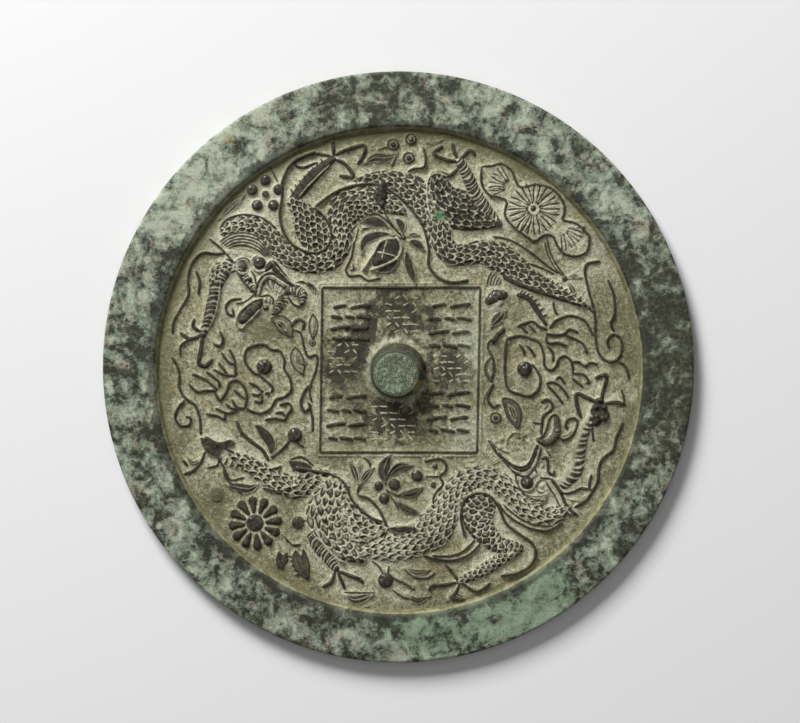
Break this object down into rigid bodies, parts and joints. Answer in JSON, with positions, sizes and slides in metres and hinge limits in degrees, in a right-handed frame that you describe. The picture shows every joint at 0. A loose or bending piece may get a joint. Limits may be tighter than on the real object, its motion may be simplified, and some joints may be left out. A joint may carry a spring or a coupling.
{
  "type": "ancient bronze mirror",
  "caption": "Round cast bronze mirror lying on its polished face, its back worked with twin dragons, clouds and flowers round a square panel and a pierced knob.",
  "frame": {"origin": "centre of the polished face, on the surface the mirror lies on", "axes": "+Z out of the decorated back, +Y towards the top of the design, +X to its right"},
  "size_m": [0.22, 0.22, 0.0118],
  "materials": {
    "patinated_bronze": "matt brown-black bronze with grey-green verdigris and pale earth in the hollows"
  },
  "bodies": {
    "root": {"mirror": "patinated_bronze"}
  },
  "joints": []
}
